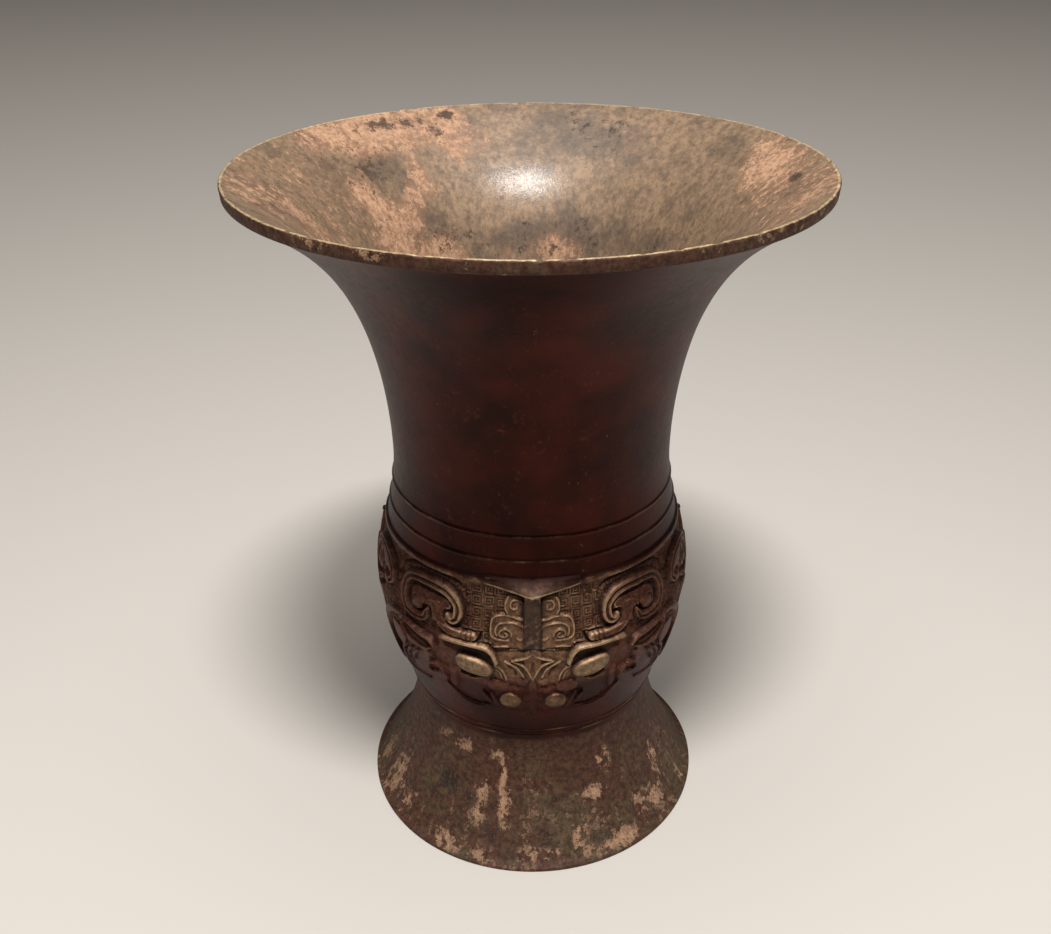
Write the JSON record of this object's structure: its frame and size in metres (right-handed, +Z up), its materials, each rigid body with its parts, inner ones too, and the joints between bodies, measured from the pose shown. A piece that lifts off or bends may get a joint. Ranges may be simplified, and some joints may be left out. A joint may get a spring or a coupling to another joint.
{
  "type": "zun wine vessel",
  "caption": "Ancient bronze wine vessel with a trumpet mouth, a round belly cast with a beast mask and a spreading hollow foot.",
  "frame": {"origin": "centre of the foot's underside, on the surface it stands on", "axes": "+Z up along the vessel's axis, the front mask faces -Y, the side ribs are at +X and -X"},
  "size_m": [0.2106, 0.2106, 0.27],
  "materials": {
    "bronze": "dark brown and grey-green patina, worn lighter on raised edges"
  },
  "bodies": {
    "root": {"zun_vessel": "bronze"}
  },
  "joints": []
}
